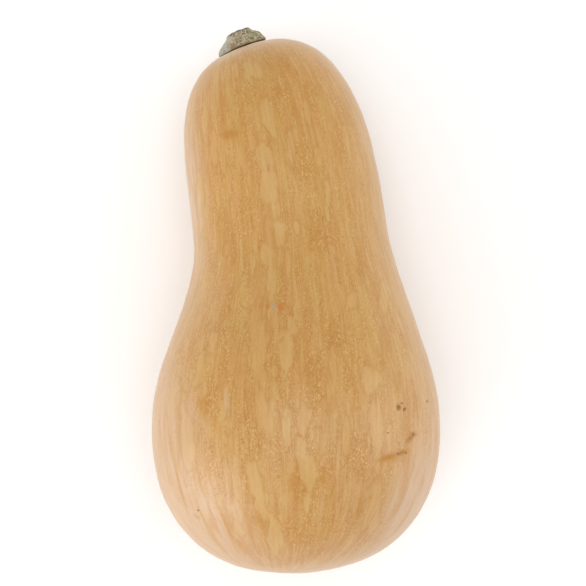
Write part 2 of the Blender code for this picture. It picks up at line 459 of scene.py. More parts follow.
# %% [markdown]
# The stem's lobes and grooves are in its solid. The new stem is laid onto them in the same way as
# the skin. Then it is pulled at a few places with proportional editing, as clay is with a thumb:
# the left flank bulges, and the right lobe has a shoulder under the rim. Clouds of two sizes make
# it dry cork.

# %% Lobes and cork
LUMP_SIZE, LUMP_DEPTH = 0.0026, 0.0007
CORK_SIZE, CORK_DEPTH = 0.0008, 0.00035

settle(stem, smooth_pattern("stem", lambda face: False))

MM = 0.001
# where on the upright stem, how far to pull, and how far around it the pull reaches, in millimetres
PULLS = (
    ((-8.6, -1.0, 2.2), (-1.5, 0.0, 0.3), 4.0),
    ((-6.8, -1.0, 4.6), (-0.9, 0.0, 0.2), 2.6),
    ((8.4, -1.0, 4.3), (0.5, 0.0, 1.0), 2.6),
    ((10.2, -1.0, 1.0), (0.5, 0.0, 0.3), 2.4),
    ((5.7, -1.0, 6.6), (-0.8, 0.0, 0.0), 1.5),
    ((-4.4, -1.0, 7.9), (-0.9, 0.0, 0.5), 1.8),
    ((4.0, 0.0, 8.2), (0.0, 0.0, 0.7), 3.0),
)
lone_edit(stem)
for place, pull, reach in PULLS:
    aim = STEM_PLACE + STEM_TURN.to_matrix() @ Vector(place) * MM
    corners = bmesh.from_edit_mesh(stem.data).verts
    pick(stem, [min(corners, key=lambda corner: (corner.co - aim).length).index])
    bpy.ops.transform.translate(
        value=STEM_TURN.to_matrix() @ Vector(pull) * MM,
        use_proportional_edit=True,
        proportional_edit_falloff="SMOOTH",
        proportional_size=reach * MM,
    )
bpy.ops.object.mode_set(mode="OBJECT")
smooth(stem)
dent(stem, "lumps", LUMP_SIZE, LUMP_DEPTH)
dent(stem, "cork", CORK_SIZE, CORK_DEPTH)
bpy.ops.object.shade_smooth()
print("stem of", len(stem.data.polygons), "faces")

# %% [markdown]
# ## Marks laid out one by one
# Some pale leaves and dark bands on the upper side are large enough to be laid out one by one, as
# a painter would place them. Each is a row: where it lies, its half width and half length, how
# its top leans to the right, and whether it narrows towards the stem (above zero) or towards the
# blossom (below zero). Millimetres and degrees are easier to read here. Every point of the skin
# then notes how far it is from the nearest one: 0 in its middle, 1 at its edge. The material cuts
# the edge later, so it is as crisp as we like, however coarse the mesh is.

# %% Where the leaves lie
# x, y, half width, half length, lean, narrowing
STRAW_LEAVES = [
    (-14.3, -21.6, 3.8, 13.0, -3, 0),
    (-12.6, -44.8, 3.4, 9.1, -14, 0.1),
    (-32.4, -18.2, 2.7, 4.7, 10, 0),
    (-37.4, -27.8, 1.9, 5.4, 12, 0),
    (30.4, -52.2, 2.3, 11.5, -3, -0.2),
    (28.7, -83.4, 3.1, 9.2, 8, 0),
    (-42.7, -53.7, 2.3, 15.5, -6, 0),
    (35.6, -55.5, 1.5, 6.1, 0, 0),
    (2.6, -47.3, 2.2, 4.2, 0, -0.3),
    (4.3, 74.7, 1.2, 6.0, -8, 0),
    (-33.7, 59.7, 1.6, 7.3, -3, 0),
    (8.7, 55.8, 1.6, 4.0, -8, 0),
    (-24.6, 92.0, 1.2, 3.7, -8, 0),
    (-27.7, 18.1, 1.2, 3.2, 0, 0),
    (-17.5, 13.1, 1.2, 4.7, 0, 0),
    (-3.3, 11.5, 1.2, 6.3, -3, 0),
    (-37.7, 71.7, 1.2, 9.8, 4, 0),
    (34.5, -1.9, 1.6, 5.6, 0, 0),
    (13.9, -27.7, 1.1, 9.1, -3, 0),
    (18.7, -54.7, 1.1, 7.6, 0, 0),
]
PALE_LEAVES = [
    (-10.5, 69.9, 2.4, 7.6, -14, -0.3),
    (-13.7, 56.0, 3.6, 5.2, -10, 0.2),
    (-11.2, 43.0, 3.2, 7.6, 0, 0),
    (-18.0, 91.6, 3.3, 5.3, -5, 0),
    (-6.0, 25.0, 2.0, 6.3, 0, -0.2),
    (0.3, 26.6, 1.2, 2.8, 0, 0),
    (-11.9, 15.9, 1.6, 3.2, -10, 0.3),
    (-9.9, 5.6, 1.6, 7.8, 0, 0),
    (-4.0, -21.6, 3.1, 8.4, -5, 0.1),
    (-3.6, -35.0, 1.1, 5.3, -5, -0.4),
    (27.9, -31.7, 3.5, 5.0, -12, 0.3),
    (12.7, 39.8, 1.4, 9.0, 0, 0),
    (-3.6, -50.5, 1.7, 6.8, 0, -0.5),
    (4.9, -67.0, 2.9, 10.0, -3, -0.4),
    (4.0, -78.1, 1.1, 4.5, 0, -0.2),
    (-14.9, -74.4, 2.6, 11.4, -10, 0.15),
    (-7.4, -92.6, 2.7, 8.4, -4, 0),
    (-21.7, -90.3, 1.5, 3.8, -20, 0),
    (-1.6, -11.5, 1.5, 4.2, -15, 0),
]
BLUSH_LEAVES = [
    (-8.5, -29.1, 1.9, 2.7, 0, 0),
    (-26.0, -49.2, 1.5, 5.3, -2, 0),
    (-26.4, -70.2, 1.5, 12.9, -4, 0),
    (-23.1, -80.8, 1.5, 8.4, -14, 0),
    (15.7, -66.7, 0.9, 18.9, 1, 0),
    (18.4, -72.2, 0.8, 9.1, 2, 0),
    (21.8, -1.8, 2.0, 3.1, 0, 0),
    (-11.2, 25.0, 1.6, 6.3, 0, 0),
    (-39.4, 39.0, 1.6, 12.3, 0, 0),
    (46.4, -52.6, 0.8, 10.2, 3, 0),
    (-2.5, 58.0, 1.6, 7.2, 0, 0),
    (-27.4, 42.3, 1.2, 7.2, 0, 0),
]
print(len(STRAW_LEAVES) + len(PALE_LEAVES) + len(BLUSH_LEAVES), "leaves")

# %% Where the dark bands and the flecks lie
DEEP_BANDS = [
    (-4.6, 93.4, 3.7, 8.1, -10, 0),
    (16.9, 62.8, 2.4, 10.5, -6, 0),
    (3.3, -29.1, 3.8, 6.1, 0, 0),
    (-6.0, 9.1, 2.3, 4.7, 0, 0),
    (0.6, -70.3, 4.5, 11.3, 0, 0),
    (2.2, -102.0, 10.0, 12.0, 0, 0),
    (-21.1, -97.9, 1.9, 4.7, -30, 0),
    (23.0, -40.6, 2.7, 6.1, 0, 0),
    (-35.1, -42.1, 3.1, 5.4, 0, 0),
    (-19.1, -72.6, 1.3, 9.1, -3, 0),
    (9.6, -68.9, 2.3, 5.3, 0, 0),
    (22.5, 36.3, 2.4, 9.7, -4, 0),
    (-30.2, 79.4, 1.6, 13.8, 0, 0),
    (-19.5, -39.7, 1.1, 9.9, 0, 0),
    (39.5, -32.9, 2.7, 6.2, -5, 0),
    (-6.5, 82.0, 3.6, 4.0, 0, 0),
    (23.6, -84.2, 1.1, 10.0, 8, 0),
    (25.4, 13.2, 2.4, 9.6, -4, 0),
    (19.0, 76.0, 6.0, 9.0, -15, 0),
    (-27.2, -88.0, 1.1, 14.0, -19, 0),
    (-45.5, -75.0, 0.7, 14.0, -15, 0),
]
FLECK_PATCHES = [
    (-20.3, 81.3, 5.3, 4.8, 0, 0),
    (6.0, 83.3, 4.5, 3.7, -20, 0),
    (-5.3, 83.7, 3.2, 9.7, -10, 0),
    (3.9, 54.8, 5.2, 9.6, 0, 0),
    (-19.6, 32.4, 4.8, 9.6, 0, 0),
    (-32.4, 32.8, 3.2, 6.5, 0, 0),
    (10.2, 25.1, 7.9, 8.7, 0, 0),
    (-28.8, -16.6, 4.7, 7.0, 0, 0),
    (-18.6, -17.2, 3.8, 4.6, 0, 0),
    (14.5, -15.6, 4.6, 5.4, 0, 0),
    (-6.4, 1.3, 3.5, 6.2, 0, 0),
    (-16.8, -50.1, 6.4, 13.6, 0, 0),
    (-5.4, -56.7, 6.0, 5.3, 0, 0),
    (-31.9, -40.8, 3.8, 6.9, 0, 0),
    (24.1, -60.9, 6.1, 9.9, 0, 0),
    (5.9, -33.9, 5.3, 9.1, 0, 0),
    (-28.4, -74.3, 3.4, 15.3, -5, 0),
    (15.9, 79.8, 3.3, 6.5, -25, 0),
    (1.4, -91.7, 7.7, 7.7, 0, 0),
    (25.2, -26.7, 2.7, 3.8, 0, 0),
]
# Painted sheen: these pale patches on the flanks of the bulb and the neck paint the broad sheen of
# the lamps and the white room into the rind's colour.
PAINTED_SHEEN_PATCHES = [
    (-46.0, -62.0, 11.0, 34.0, -4, 0),
    (-33.0, -88.0, 15.0, 24.0, -35, 0),
    (44.0, -78.0, 9.0, 22.0, 20, 0),
    (-42.0, 44.0, 5.0, 30.0, -3, 0),
    (-26.4, -40.5, 1.2, 5.5, -3, 0),
]
print(len(DEEP_BANDS), "dark bands,", len(FLECK_PATCHES), "patches of flecks")

# %% Note the marks on the skin
FAR = 3.0


def attribute_vectors(piece, name):
    """The vectors that the points of a mesh hold under this name."""
    found = np.zeros(len(piece.data.vertices) * 3)
    piece.data.attributes[name].data.foreach_get("vector", found)
    return found.reshape(-1, 3)


def distance_to(rows, points, reachable):
    """How far each point is from the nearest mark: 0 in its middle, 1 at its edge, FAR beyond."""
    nearest = np.full(len(points), FAR)
    for x, y, half_width, half_length, lean, narrowing in rows:
        right, up = points[:, 0] - x * MM, points[:, 1] - y * MM
        slant = radians(lean)
        across = (right * np.cos(slant) - up * np.sin(slant)) / (half_width * MM)
        lengthwise = (right * np.sin(slant) + up * np.cos(slant)) / (half_length * MM)
        across *= 1 + narrowing * np.clip(lengthwise, -1, 1)
        nearest = np.minimum(nearest, np.hypot(across, lengthwise))
    return np.where(reachable, nearest, FAR)


points = attribute_vectors(fruit, "position")
on_top = attribute_vectors(fruit, "grain")[:, 2] > 0
for name, tables in (
    ("leaves", (STRAW_LEAVES, PALE_LEAVES, BLUSH_LEAVES)),
    ("zones", (DEEP_BANDS, FLECK_PATCHES, PAINTED_SHEEN_PATCHES)),
):
    distances = np.stack([distance_to(rows, points, on_top) for rows in tables], axis=1)
    noted = fruit.data.attributes.new(name, "FLOAT_VECTOR", "POINT")
    noted.data.foreach_set("vector", distances.ravel())
    print(name, "inside marks:", [int((column < 1).sum()) for column in distances.T], "points")

# %% [markdown]
# ## Building blocks for the finishes
# The finishes need the same few effects again and again, so each is a node group with named
# inputs: long soft streaks, dots, a fine net, and a spot at a given place. A group is built once,
# like a stamp, and pressed into a material with its own numbers. Small helpers keep this short.


# %% Helpers for nodes
def node(tree, kind, inputs=None, **settings):
    """Adds a node. An input's value may be a number, a colour, or another node's output."""
    made = tree.nodes.new(kind)
    for setting, value in settings.items():
        setattr(made, setting, value)
    for socket, value in (inputs or {}).items():
        if isinstance(value, bpy.types.NodeSocket):
            tree.links.new(value, made.inputs[socket])
        else:
            made.inputs[socket].default_value = value
    return made


def new_group(name, vector_inputs, number_inputs, number_outputs):
    """An empty node group with named sockets, and its input and output nodes."""
    group = bpy.data.node_groups.new(name, "ShaderNodeTree")
    for labels, way, kind in (
        (vector_inputs, "INPUT", "NodeSocketVector"),
        (number_inputs, "INPUT", "NodeSocketFloat"),
        (number_outputs, "OUTPUT", "NodeSocketFloat"),
    ):
        for label in labels:
            group.interface.new_socket(label, in_out=way, socket_type=kind)
    return group, group.nodes.new("NodeGroupInput").outputs, group.nodes.new("NodeGroupOutput")


def stamp(tree, group, inputs):
    """Presses a group into a tree and gives its outputs."""
    return node(tree, "ShaderNodeGroup", inputs, node_tree=group).outputs


def sums(tree, operation, first, second, third=0.0):
    """One step of arithmetic on numbers or masks."""
    made = node(tree, "ShaderNodeMath", {0: first, 1: second, 2: third}, operation=operation)
    return made.outputs[0]


def scale(tree, value, by):
    """A mask made weaker or stronger, by a number or by another mask."""
    return sums(tree, "MULTIPLY", value, by)


def most(tree, first, *others):
    """The strongest of several masks."""
    for mask in others:
        first = sums(tree, "MAXIMUM", first, mask)
    return first


def vectors(tree, operation, first, second=(0, 0, 0), third=(0, 0, 0)):
    """One step of arithmetic on vectors. A length or a distance comes out as a number."""
    inputs = {0: first, 1: second, 2: third}
    made = node(tree, "ShaderNodeVectorMath", inputs, operation=operation)
    return made.outputs["Value" if operation in ("LENGTH", "DISTANCE") else "Vector"]


def squeezed(tree, vector, width, length):
    """The same place, counted in widths across and in lengths along."""
    size = node(tree, "ShaderNodeCombineXYZ", {0: width, 1: length, 2: width}).outputs[0]
    return vectors(tree, "DIVIDE", vector, size)


def ramp(tree, value, low, high, start=0.0, end=1.0):
    """A soft step: start where the value is at low, end where it is at high."""
    return node(
        tree,
        "ShaderNodeMapRange",
        {"Value": value, "From Min": low, "From Max": high, "To Min": start, "To Max": end},
        interpolation_type="SMOOTHSTEP",
    ).outputs[0]


# %% [markdown]
# **Streaks** are noise that is squeezed one way and stretched the other. The vector is divided by
# the width across and the length along, so both are given in metres. From and To cut the noise
# into a mask: close together they give crisp islands, far apart a gentle change. The uncut noise
# comes out too, to make other edges ragged.

# %% Group: streaks
streaks, given, result = new_group(
    "streaks",
    ["Vector"],
    ["Width", "Length", "Detail", "Waviness", "From", "To"],
    ["Mask", "Noise"],
)
noise = node(
    streaks,
    "ShaderNodeTexNoise",
    {
        "Vector": squeezed(streaks, given["Vector"], given["Width"], given["Length"]),
        "Scale": 1.0,
        "Detail": given["Detail"],
        "Roughness": 0.55,
        "Distortion": given["Waviness"],
    },
)
cut = ramp(streaks, noise.outputs[0], given["From"], given["To"])
streaks.links.new(cut, result.inputs["Mask"])
streaks.links.new(noise.outputs[0], result.inputs["Noise"])
print("streaks:", len(streaks.nodes), "nodes")

# %% [markdown]
# **Dots** are the cells of a Voronoi texture. Each cell has a random colour. Only those below a
# threshold get a dot, and its strength is random too.

# %% Group: dots
dots, given, result = new_group("dots", ["Vector"], ["Cell", "Radius", "Share"], ["Mask"])
grid = squeezed(dots, given["Vector"], given["Cell"], given["Cell"])
cells = node(dots, "ShaderNodeTexVoronoi", {"Vector": grid, "Scale": 1.0})
reach = sums(dots, "DIVIDE", given["Radius"], given["Cell"])
dot = ramp(dots, cells.outputs["Distance"], reach, 0.0)
luck = node(dots, "ShaderNodeSeparateColor", {0: cells.outputs["Color"]}).outputs
chosen = sums(dots, "LESS_THAN", luck[0], given["Share"])
strength = ramp(dots, luck[1], 0.0, 1.0, 0.3, 1.0)
dots.links.new(scale(dots, scale(dots, dot, chosen), strength), result.inputs["Mask"])
print("dots:", len(dots.nodes), "nodes")

# %% [markdown]
# **Crackle** is the fine corky net of the rind: small cells with thin dark lines between them,
# and a pale speck in many of them. Noise pushes the cells about, so that no two are alike.

# %% Group: crackle
crackle, given, result = new_group(
    "crackle", ["Vector"], ["Width", "Length", "Wander", "Share"], ["Speck", "Net"]
)
grid = squeezed(crackle, given["Vector"], given["Width"], given["Length"])
push = node(crackle, "ShaderNodeTexNoise", {"Vector": grid, "Scale": 0.8, "Detail": 2.0})
pushed = vectors(crackle, "MULTIPLY_ADD", push.outputs["Color"], given["Wander"], grid)
cells = node(crackle, "ShaderNodeTexVoronoi", {"Vector": pushed, "Scale": 1.0})
luck = node(crackle, "ShaderNodeSeparateColor", {0: cells.outputs["Color"]}).outputs
chosen = ramp(crackle, luck[0], given["Share"], 0.0)
speck = scale(crackle, ramp(crackle, cells.outputs["Distance"], 0.50, 0.22), chosen)
crackle.links.new(speck, result.inputs["Speck"])
lines_between = node(
    crackle, "ShaderNodeTexVoronoi", {"Vector": pushed, "Scale": 1.0}, feature="DISTANCE_TO_EDGE"
)
net = ramp(crackle, lines_between.outputs["Distance"], 0.16, 0.02)
net = scale(crackle, net, ramp(crackle, luck[1], 0.1, 0.8, 0.25, 1.0))
crackle.links.new(net, result.inputs["Net"])
print("crackle:", len(crackle.nodes), "nodes")

# %% [markdown]
# **Spot** marks one place: a scratch, a bruise or a pinprick. It measures how far a point is from
# the centre, in units of the spot's half sizes.

# %% Group: spot
spot, given, result = new_group(
    "spot", ["Vector", "Centre", "Half Sizes"], ["Turn", "Softness"], ["Mask"]
)
offset = vectors(spot, "SUBTRACT", given["Vector"], given["Centre"])
turned = node(
    spot,
    "ShaderNodeVectorRotate",
    {"Vector": offset, "Angle": given["Turn"]},
    rotation_type="Z_AXIS",
)
scaled = vectors(spot, "DIVIDE", turned.outputs[0], given["Half Sizes"])
distance = vectors(spot, "LENGTH", scaled)
inner = sums(spot, "SUBTRACT", 1.0, given["Softness"])
spot.links.new(ramp(spot, distance, 1.0, inner), result.inputs["Mask"])
print("spot:", len(spot.nodes), "nodes")

# %% [markdown]
# ## The rind
# Ripe butternut skin is not one colour. Seen close, it is an orange-tan ground, crowded with tiny
# pale flecks in patches and bands; on it lie smooth, pale, leaf-shaped islands with soft edges;
# and everything is drawn out along the fruit in fine lines. Some stretches lean to straw, others
# to pink. Each of those is one layer, mixed over the last. All read the grain, so they follow the
# skin.
#
# The colours below are as they look in the end. The wax adds a white reflection of a few percent,
# so the colour under it is that much darker.

# %% Colours of the rind
WAX_WHITE = 0.052
ROOM_LEVEL = 1.10
DARKEST = 0.004


def from_screen(red, green, blue, white=0.0, level=1.0):
    """A colour as a screen shows it, 0 to 255, as the light values that Blender works in."""
    shares = (value / 255 for value in (red, green, blue))
    light = (s / 12.92 if s <= 0.04045 else ((s + 0.055) / 1.055) ** 2.4 for s in shares)
    return (*(max(value - white, DARKEST) / level for value in light), 1)


def under_wax(red, green, blue):
    """What a colour has to be under the wax, to look like this on a screen."""
    return from_screen(red, green, blue, WAX_WHITE, ROOM_LEVEL)


GROUND = under_wax(204, 155, 94)
GROUND_STRAW = under_wax(203, 160, 92)
GROUND_BLUSH = under_wax(208, 157, 106)
GROUND_DEEP = under_wax(194, 140, 73)
# a pale tone for the bulb's end, also used as the painted sheen on the flanks
PALE_GROUND_AND_SHEEN = under_wax(211, 179, 152)
NET_DARK = under_wax(182, 130, 66)
STRAW_LEAF = under_wax(209, 166, 103)
PALE_LEAF = under_wax(210, 172, 112)
BLUSH_LEAF = under_wax(214, 170, 122)
FLECK = under_wax(222, 178, 112)


def mix(tree, factor, below, above):
    """Lays one colour over another."""
    inputs = {0: factor, 6: below, 7: above}
    return node(tree, "ShaderNodeMix", inputs, data_type="RGBA").outputs[2]


def lay(tree, colour, *layers):
    """Lays colours over one another. Each layer is a mask, how strong it is, and its colour."""
    for mask, strength, paint in layers:
        colour = mix(tree, scale(tree, mask, strength), colour, paint)
    return colour


def held(tree, name):
    """The vector that the mesh holds under this name."""
    return node(tree, "ShaderNodeAttribute", attribute_name=name).outputs["Vector"]


def split(tree, vector):
    """The three numbers of a vector."""
    return node(tree, "ShaderNodeSeparateXYZ", {0: vector}).outputs


def dress(piece, finish, colour, gloss, relief, depth):
    """Gives a finish its colour, its roughness and its bump, and puts it on a piece."""
    nodes, links = finish.node_tree.nodes, finish.node_tree.links
    bump = node(
        finish.node_tree, "ShaderNodeBump", {"Strength": 1.0, "Distance": depth, "Height": relief}
    )
    shader = nodes["Principled BSDF"]
    links.new(colour, shader.inputs["Base Color"])
    links.new(gloss, shader.inputs["Roughness"])
    links.new(bump.outputs[0], shader.inputs["Normal"])
    piece.data.materials.clear()
    piece.data.materials.append(finish)
    print(finish.name, "has", len(nodes), "nodes")


rind = bpy.data.materials.new("waxy rind")
rind.use_nodes = True
tree = rind.node_tree
along_grain = held(tree, "grain")
_, run_along, spoke_up = split(tree, along_grain)
topside = ramp(tree, spoke_up, -0.004, 0.004)
print("ground colour under the wax", [round(value, 3) for value in GROUND])


def streaks_on(tree, vector, width, length, low, high, detail, waviness):
    """One layer of streaks on a material."""
    inputs = {"Vector": vector, "Width": width, "Length": length}
    inputs |= {"Detail": detail, "Waviness": waviness, "From": low, "To": high}
    return stamp(tree, streaks, inputs)


def streak(width, length, low=0.0, high=1.0, detail=2.0, waviness=0.4, shift=0.0):
    """Streaks on the rind. The shift picks another stretch of the same noise."""
    moved = vectors(tree, "ADD", along_grain, (0, shift, 0))
    return streaks_on(tree, moved, width, length, low, high, detail, waviness)


# %% [markdown]
# The ground comes first, from the broadest change to the finest: straw and blush stretches, the
# pale and the deep end of the bulb, a painted sheen that makes the flanks pale, and then the deep
# bands. Each streak is given its width and its length in metres.

# %% Ground of the rind
broad = streak(0.011, 0.050, 0.38, 0.62)["Mask"]
blush_zone = streak(0.013, 0.045, 0.50, 0.72, shift=3.0)["Mask"]
deep_zone = streak(0.0045, 0.028, 0.47, 0.66, shift=5.0)["Mask"]
lines = streak(0.00045, 0.012, 0.38, 0.66, waviness=0.1, shift=11.0)["Mask"]
bands = streak(0.0034, 0.034, waviness=0.3, shift=31.0)["Noise"]
line_zone = streak(0.006, 0.040, 0.45, 0.65, shift=15.0)["Mask"]
strands = streak(0.0016, 0.022, detail=3.0, waviness=0.35, shift=23.0)["Noise"]
ruffle = streak(0.0022, 0.0048, detail=3.0, waviness=0.6, shift=17.0)["Noise"]
bend = streak(0.0050, 0.0140, detail=1.0, waviness=0.3, shift=27.0)["Noise"]

to_band, to_patch, to_painted_sheen = split(tree, held(tree, "zones"))
ragged = sums(tree, "MULTIPLY_ADD", ruffle, 1.6, -0.8)
deep_place = ramp(tree, sums(tree, "ADD", to_band, ragged), 1.25, 0.45)
fleck_place = ramp(tree, sums(tree, "ADD", to_patch, ragged), 1.25, 0.55)
# painted sheen: the rind is painted paler where the flank patches lie
painted_sheen = ramp(tree, to_painted_sheen, 1.5, 0.2)
bulb_end = sums(tree, "MULTIPLY_ADD", ruffle, 0.03, run_along)
blossom_end = sums(tree, "MULTIPLY_ADD", ruffle, 0.02, run_along)
neck = ramp(tree, run_along, 0.10, 0.15, 0.35, 1.0)

deep = most(
    tree,
    scale(tree, deep_zone, 0.55),
    scale(tree, deep_place, 0.80),
    scale(tree, ramp(tree, bands, 0.46, 0.36, 0.0, 0.55), neck),
    scale(tree, fleck_place, 0.30),
)
ground = lay(
    tree,
    GROUND,
    (broad, 0.75, GROUND_STRAW),
    (blush_zone, 0.70, GROUND_BLUSH),
    (ramp(tree, bulb_end, 0.135, 0.095), 0.20, PALE_GROUND_AND_SHEEN),
    (ramp(tree, blossom_end, 0.072, 0.042), 0.90, GROUND_DEEP),
    # the painted sheen on the flanks
    (painted_sheen, 0.75, PALE_GROUND_AND_SHEEN),
    (ramp(tree, bands, 0.53, 0.62), neck, GROUND_STRAW),
    (deep, 1.0, GROUND_DEEP),
)
print("ground layers ready")

# %% [markdown]
# A leaf has a pale middle and often a thin, slightly darker rim. Both are cut from the distance
# that the skin carries; ruffled noise makes the edge a little ragged. On the far side of the
# fruit no leaves were laid out, so there the islands come from noise.

# %% Leaves
LEAF_BEND, LEAF_RUFFLE, LEAF_FRINGE = 2.0, 1.6, 0.7
fine = streak(0.00052, 0.00130, detail=1.5, waviness=0.5, shift=19.0)["Noise"]
centred = -(LEAF_BEND + LEAF_RUFFLE + LEAF_FRINGE) / 2
fringe = sums(tree, "MULTIPLY_ADD", fine, LEAF_FRINGE, centred)
leaf_ragged = sums(tree, "MULTIPLY_ADD", ruffle, LEAF_RUFFLE, fringe)
leaf_ragged = sums(tree, "MULTIPLY_ADD", bend, LEAF_BEND, leaf_ragged)
edges = [sums(tree, "ADD", leaf, leaf_ragged) for leaf in split(tree, held(tree, "leaves"))]
straw_leaf, pale_leaf, blush_leaf = (ramp(tree, edge, 1.20, 0.70) for edge in edges)
nearest = sums(tree, "MINIMUM", sums(tree, "MINIMUM", edges[0], edges[1]), edges[2])
laid_out = ramp(tree, nearest, 1.20, 0.75)
halo = sums(tree, "SUBTRACT", ramp(tree, nearest, 1.55, 1.15), laid_out)

islands = streak(0.0044, 0.018, 0.585, 0.635, detail=1.3, waviness=0.3, shift=7.0)["Mask"]
slivers = streak(0.0014, 0.012, 0.58, 0.66, detail=1.0, waviness=0.2, shift=9.0)["Mask"]
far_side = ramp(tree, topside, 0.0, 1.0, 1.0, 0.15)
islands = scale(tree, islands, far_side)
smooth_skin = most(tree, islands, laid_out)
print("leaf edges wander by up to", -centred, "of a leaf's half size")

# %% [markdown]
# The flecks are tiny: half a millimetre wide and pale, each in its own cell of a fine dark net.
# They only show where the skin isn't covered by a leaf, and mostly in their own patches and
# bands. On the flanks of the bulb a broad pale sheen is painted into the colour, and everything
# fine is weaker there, so that the painted sheen stays smooth.

# %% Flecks
fleck_bands = streak(0.0040, 0.018, 0.42, 0.58, shift=13.0)["Mask"]
NET_WIDTH, NET_LENGTH = 0.00088, 0.00145
net_inputs = {"Vector": along_grain, "Width": NET_WIDTH, "Length": NET_LENGTH}
cork_net = stamp(tree, crackle, net_inputs | {"Wander": 1.4, "Share": 0.9})
bare = sums(tree, "SUBTRACT", 1.0, scale(tree, smooth_skin, 0.9))
banded = most(tree, scale(tree, fleck_bands, 0.7), fleck_place)
banded = ramp(tree, banded, 0.0, 1.0, 0.22, 1.15)
# the fine marks are weaker under the painted sheen, so it stays smooth
calm_in_painted_sheen = ramp(tree, painted_sheen, 0.0, 1.0, 1.0, 0.45)
fleck_room = scale(tree, scale(tree, banded, bare), calm_in_painted_sheen)
fleck_here = scale(tree, cork_net["Speck"], fleck_room)
net_here = scale(tree, cork_net["Net"], fleck_room)

line_room = scale(tree, ramp(tree, line_zone, 0.0, 1.0, 0.12, 0.40), calm_in_painted_sheen)
colour = lay(
    tree,
    ground,
    (lines, line_room, NET_DARK),
    (ramp(tree, strands, 0.48, 0.36, 0.0, 0.26), calm_in_painted_sheen, NET_DARK),
    (ramp(tree, strands, 0.52, 0.64, 0.0, 0.38), calm_in_painted_sheen, PALE_LEAF),
    (ramp(tree, fine, 0.46, 0.34, 0.0, 0.30), calm_in_painted_sheen, NET_DARK),
    (ramp(tree, fine, 0.54, 0.66, 0.0, 0.30), calm_in_painted_sheen, PALE_LEAF),
    (net_here, 0.85, NET_DARK),
    (slivers, 0.35, PALE_LEAF),
    (halo, 0.30, NET_DARK),
    (islands, 0.65, PALE_LEAF),
    (straw_leaf, 0.35, STRAW_LEAF),
    (pale_leaf, 0.45, PALE_LEAF),
    (blush_leaf, 0.15, BLUSH_LEAF),
    (fleck_here, 0.60, FLECK),
)
print("flecks, leaves and net laid")

# %% [markdown]
# ## Bruises, scratches and corky dots
# No fruit gets to the table without marks. The ones in the picture are laid out here, each seen
# from above, with noise that shifts the skin's place a little so that their edges are ragged.
# Rare small dots and smudges are scattered over the rest of the skin.

# %% Marks of handling
EDGE_SHIFT = 0.0016
DARK_CORK = under_wax(146, 104, 60)
BRUISE = under_wax(172, 122, 66)
SCRATCH = under_wax(188, 136, 72)
RUST = under_wax(200, 128, 62)
SMUDGE = under_wax(189, 136, 70)
ASH = under_wax(184, 158, 126)
GREEN_TINT = under_wax(190, 162, 92)

in_space = node(tree, "ShaderNodeTexCoord").outputs["Object"]
grit = node(tree, "ShaderNodeTexNoise", {"Vector": in_space, "Scale": 900.0, "Detail": 2.0})
shifted = vectors(tree, "MULTIPLY_ADD", grit.outputs["Color"], (EDGE_SHIFT,) * 3, in_space)
half_back = (-EDGE_SHIFT / 2, -EDGE_SHIFT / 2, 0)
from_above = vectors(tree, "MULTIPLY_ADD", shifted, (1, 1, 0), half_back)


def spots(rows, softness):
    """A mask of spots: x, y, half width and half height in millimetres, and a turn in degrees."""
    together = 0.0
    for x, y, half_width, half_height, angle in rows:
        inputs = {"Vector": from_above, "Centre": (x * MM, y * MM, 0), "Turn": radians(angle)}
        inputs |= {"Half Sizes": (half_width * MM, half_height * MM, 1), "Softness": softness}
        together = most(tree, stamp(tree, spot, inputs)["Mask"], together)
    return scale(tree, together, topside)


NECK_SMUDGE = [(-26.9, 65.0, 6.2, 2.8, 0)]
BULB_SMUDGES = [
    (-15.4, -85.9, 3.4, 2.6, 20),
    (-38.8, -86.5, 2.6, 0.9, 30),
    (3.9, -53.0, 2.8, 0.8, -50),
    (8.0, -49.6, 2.8, 0.8, -15),
    (36.5, -62.4, 8.5, 3.2, -8),
]
RUSTY_HEARTS = [(-28.3, 63.6, 2.6, 1.6, 0), (36.8, -61.4, 3.5, 1.4, -8)]
SCRATCHES = [(35.0, -62.3, 7.4, 2.0, -10), (41.4, -60.8, 4.0, 1.7, -20)]
BRUISES = [(44.4, -55.6, 4.6, 1.8, -42), (45.7, -54.3, 2.6, 1.9, 0), (40.5, -61.0, 3.0, 1.3, -15)]
RUST_DROPS = [(-11.3, -4.4, 0.9, 1.9, 0), (-6.1, -4.6, 1.6, 2.4, 0)]
GREEN_SPOTS = [(-9.1, -2.0, 1.6, 1.4, 0), (31.0, -62.1, 2.0, 1.2, 0)]
ASHEN_SPOT = [(-9.0, -4.5, 1.5, 1.9, 0)]
CORK_DOTS = [
    (39.5, -43.3, 1.4, 2.0, 0),
    (42.0, -44.2, 1.0, 1.2, 0),
    (41.0, -41.9, 0.6, 0.6, 0),
    (52.0, -42.2, 0.7, 0.7, 0),
    (35.2, -52.8, 0.6, 0.6, 0),
    (39.2, -61.2, 0.7, 0.6, 0),
    (42.5, -61.3, 0.7, 0.6, 0),
    (45.6, -54.4, 0.9, 0.7, -35),
    (-38.2, -83.5, 0.6, 0.6, 0),
]
scratched, bruised, cork = spots(SCRATCHES, 0.9), spots(BRUISES, 0.9), spots(CORK_DOTS, 0.7)
colour = lay(
    tree,
    colour,
    (spots(NECK_SMUDGE, 0.8), 0.90, SMUDGE),
    (spots(BULB_SMUDGES, 0.7), 0.50, SMUDGE),
    (spots(RUSTY_HEARTS, 0.9), 0.55, RUST),
    (scratched, 0.70, SCRATCH),
    (bruised, 0.70, BRUISE),
    (spots(RUST_DROPS, 0.6), 0.90, RUST),
    (spots(GREEN_SPOTS, 0.8), 0.60, GREEN_TINT),
    (spots(ASHEN_SPOT, 0.7), 0.85, ASH),
    (cork, 0.85, DARK_CORK),
)
print(len(CORK_DOTS), "corky dots,", len(BRUISES), "bruises")

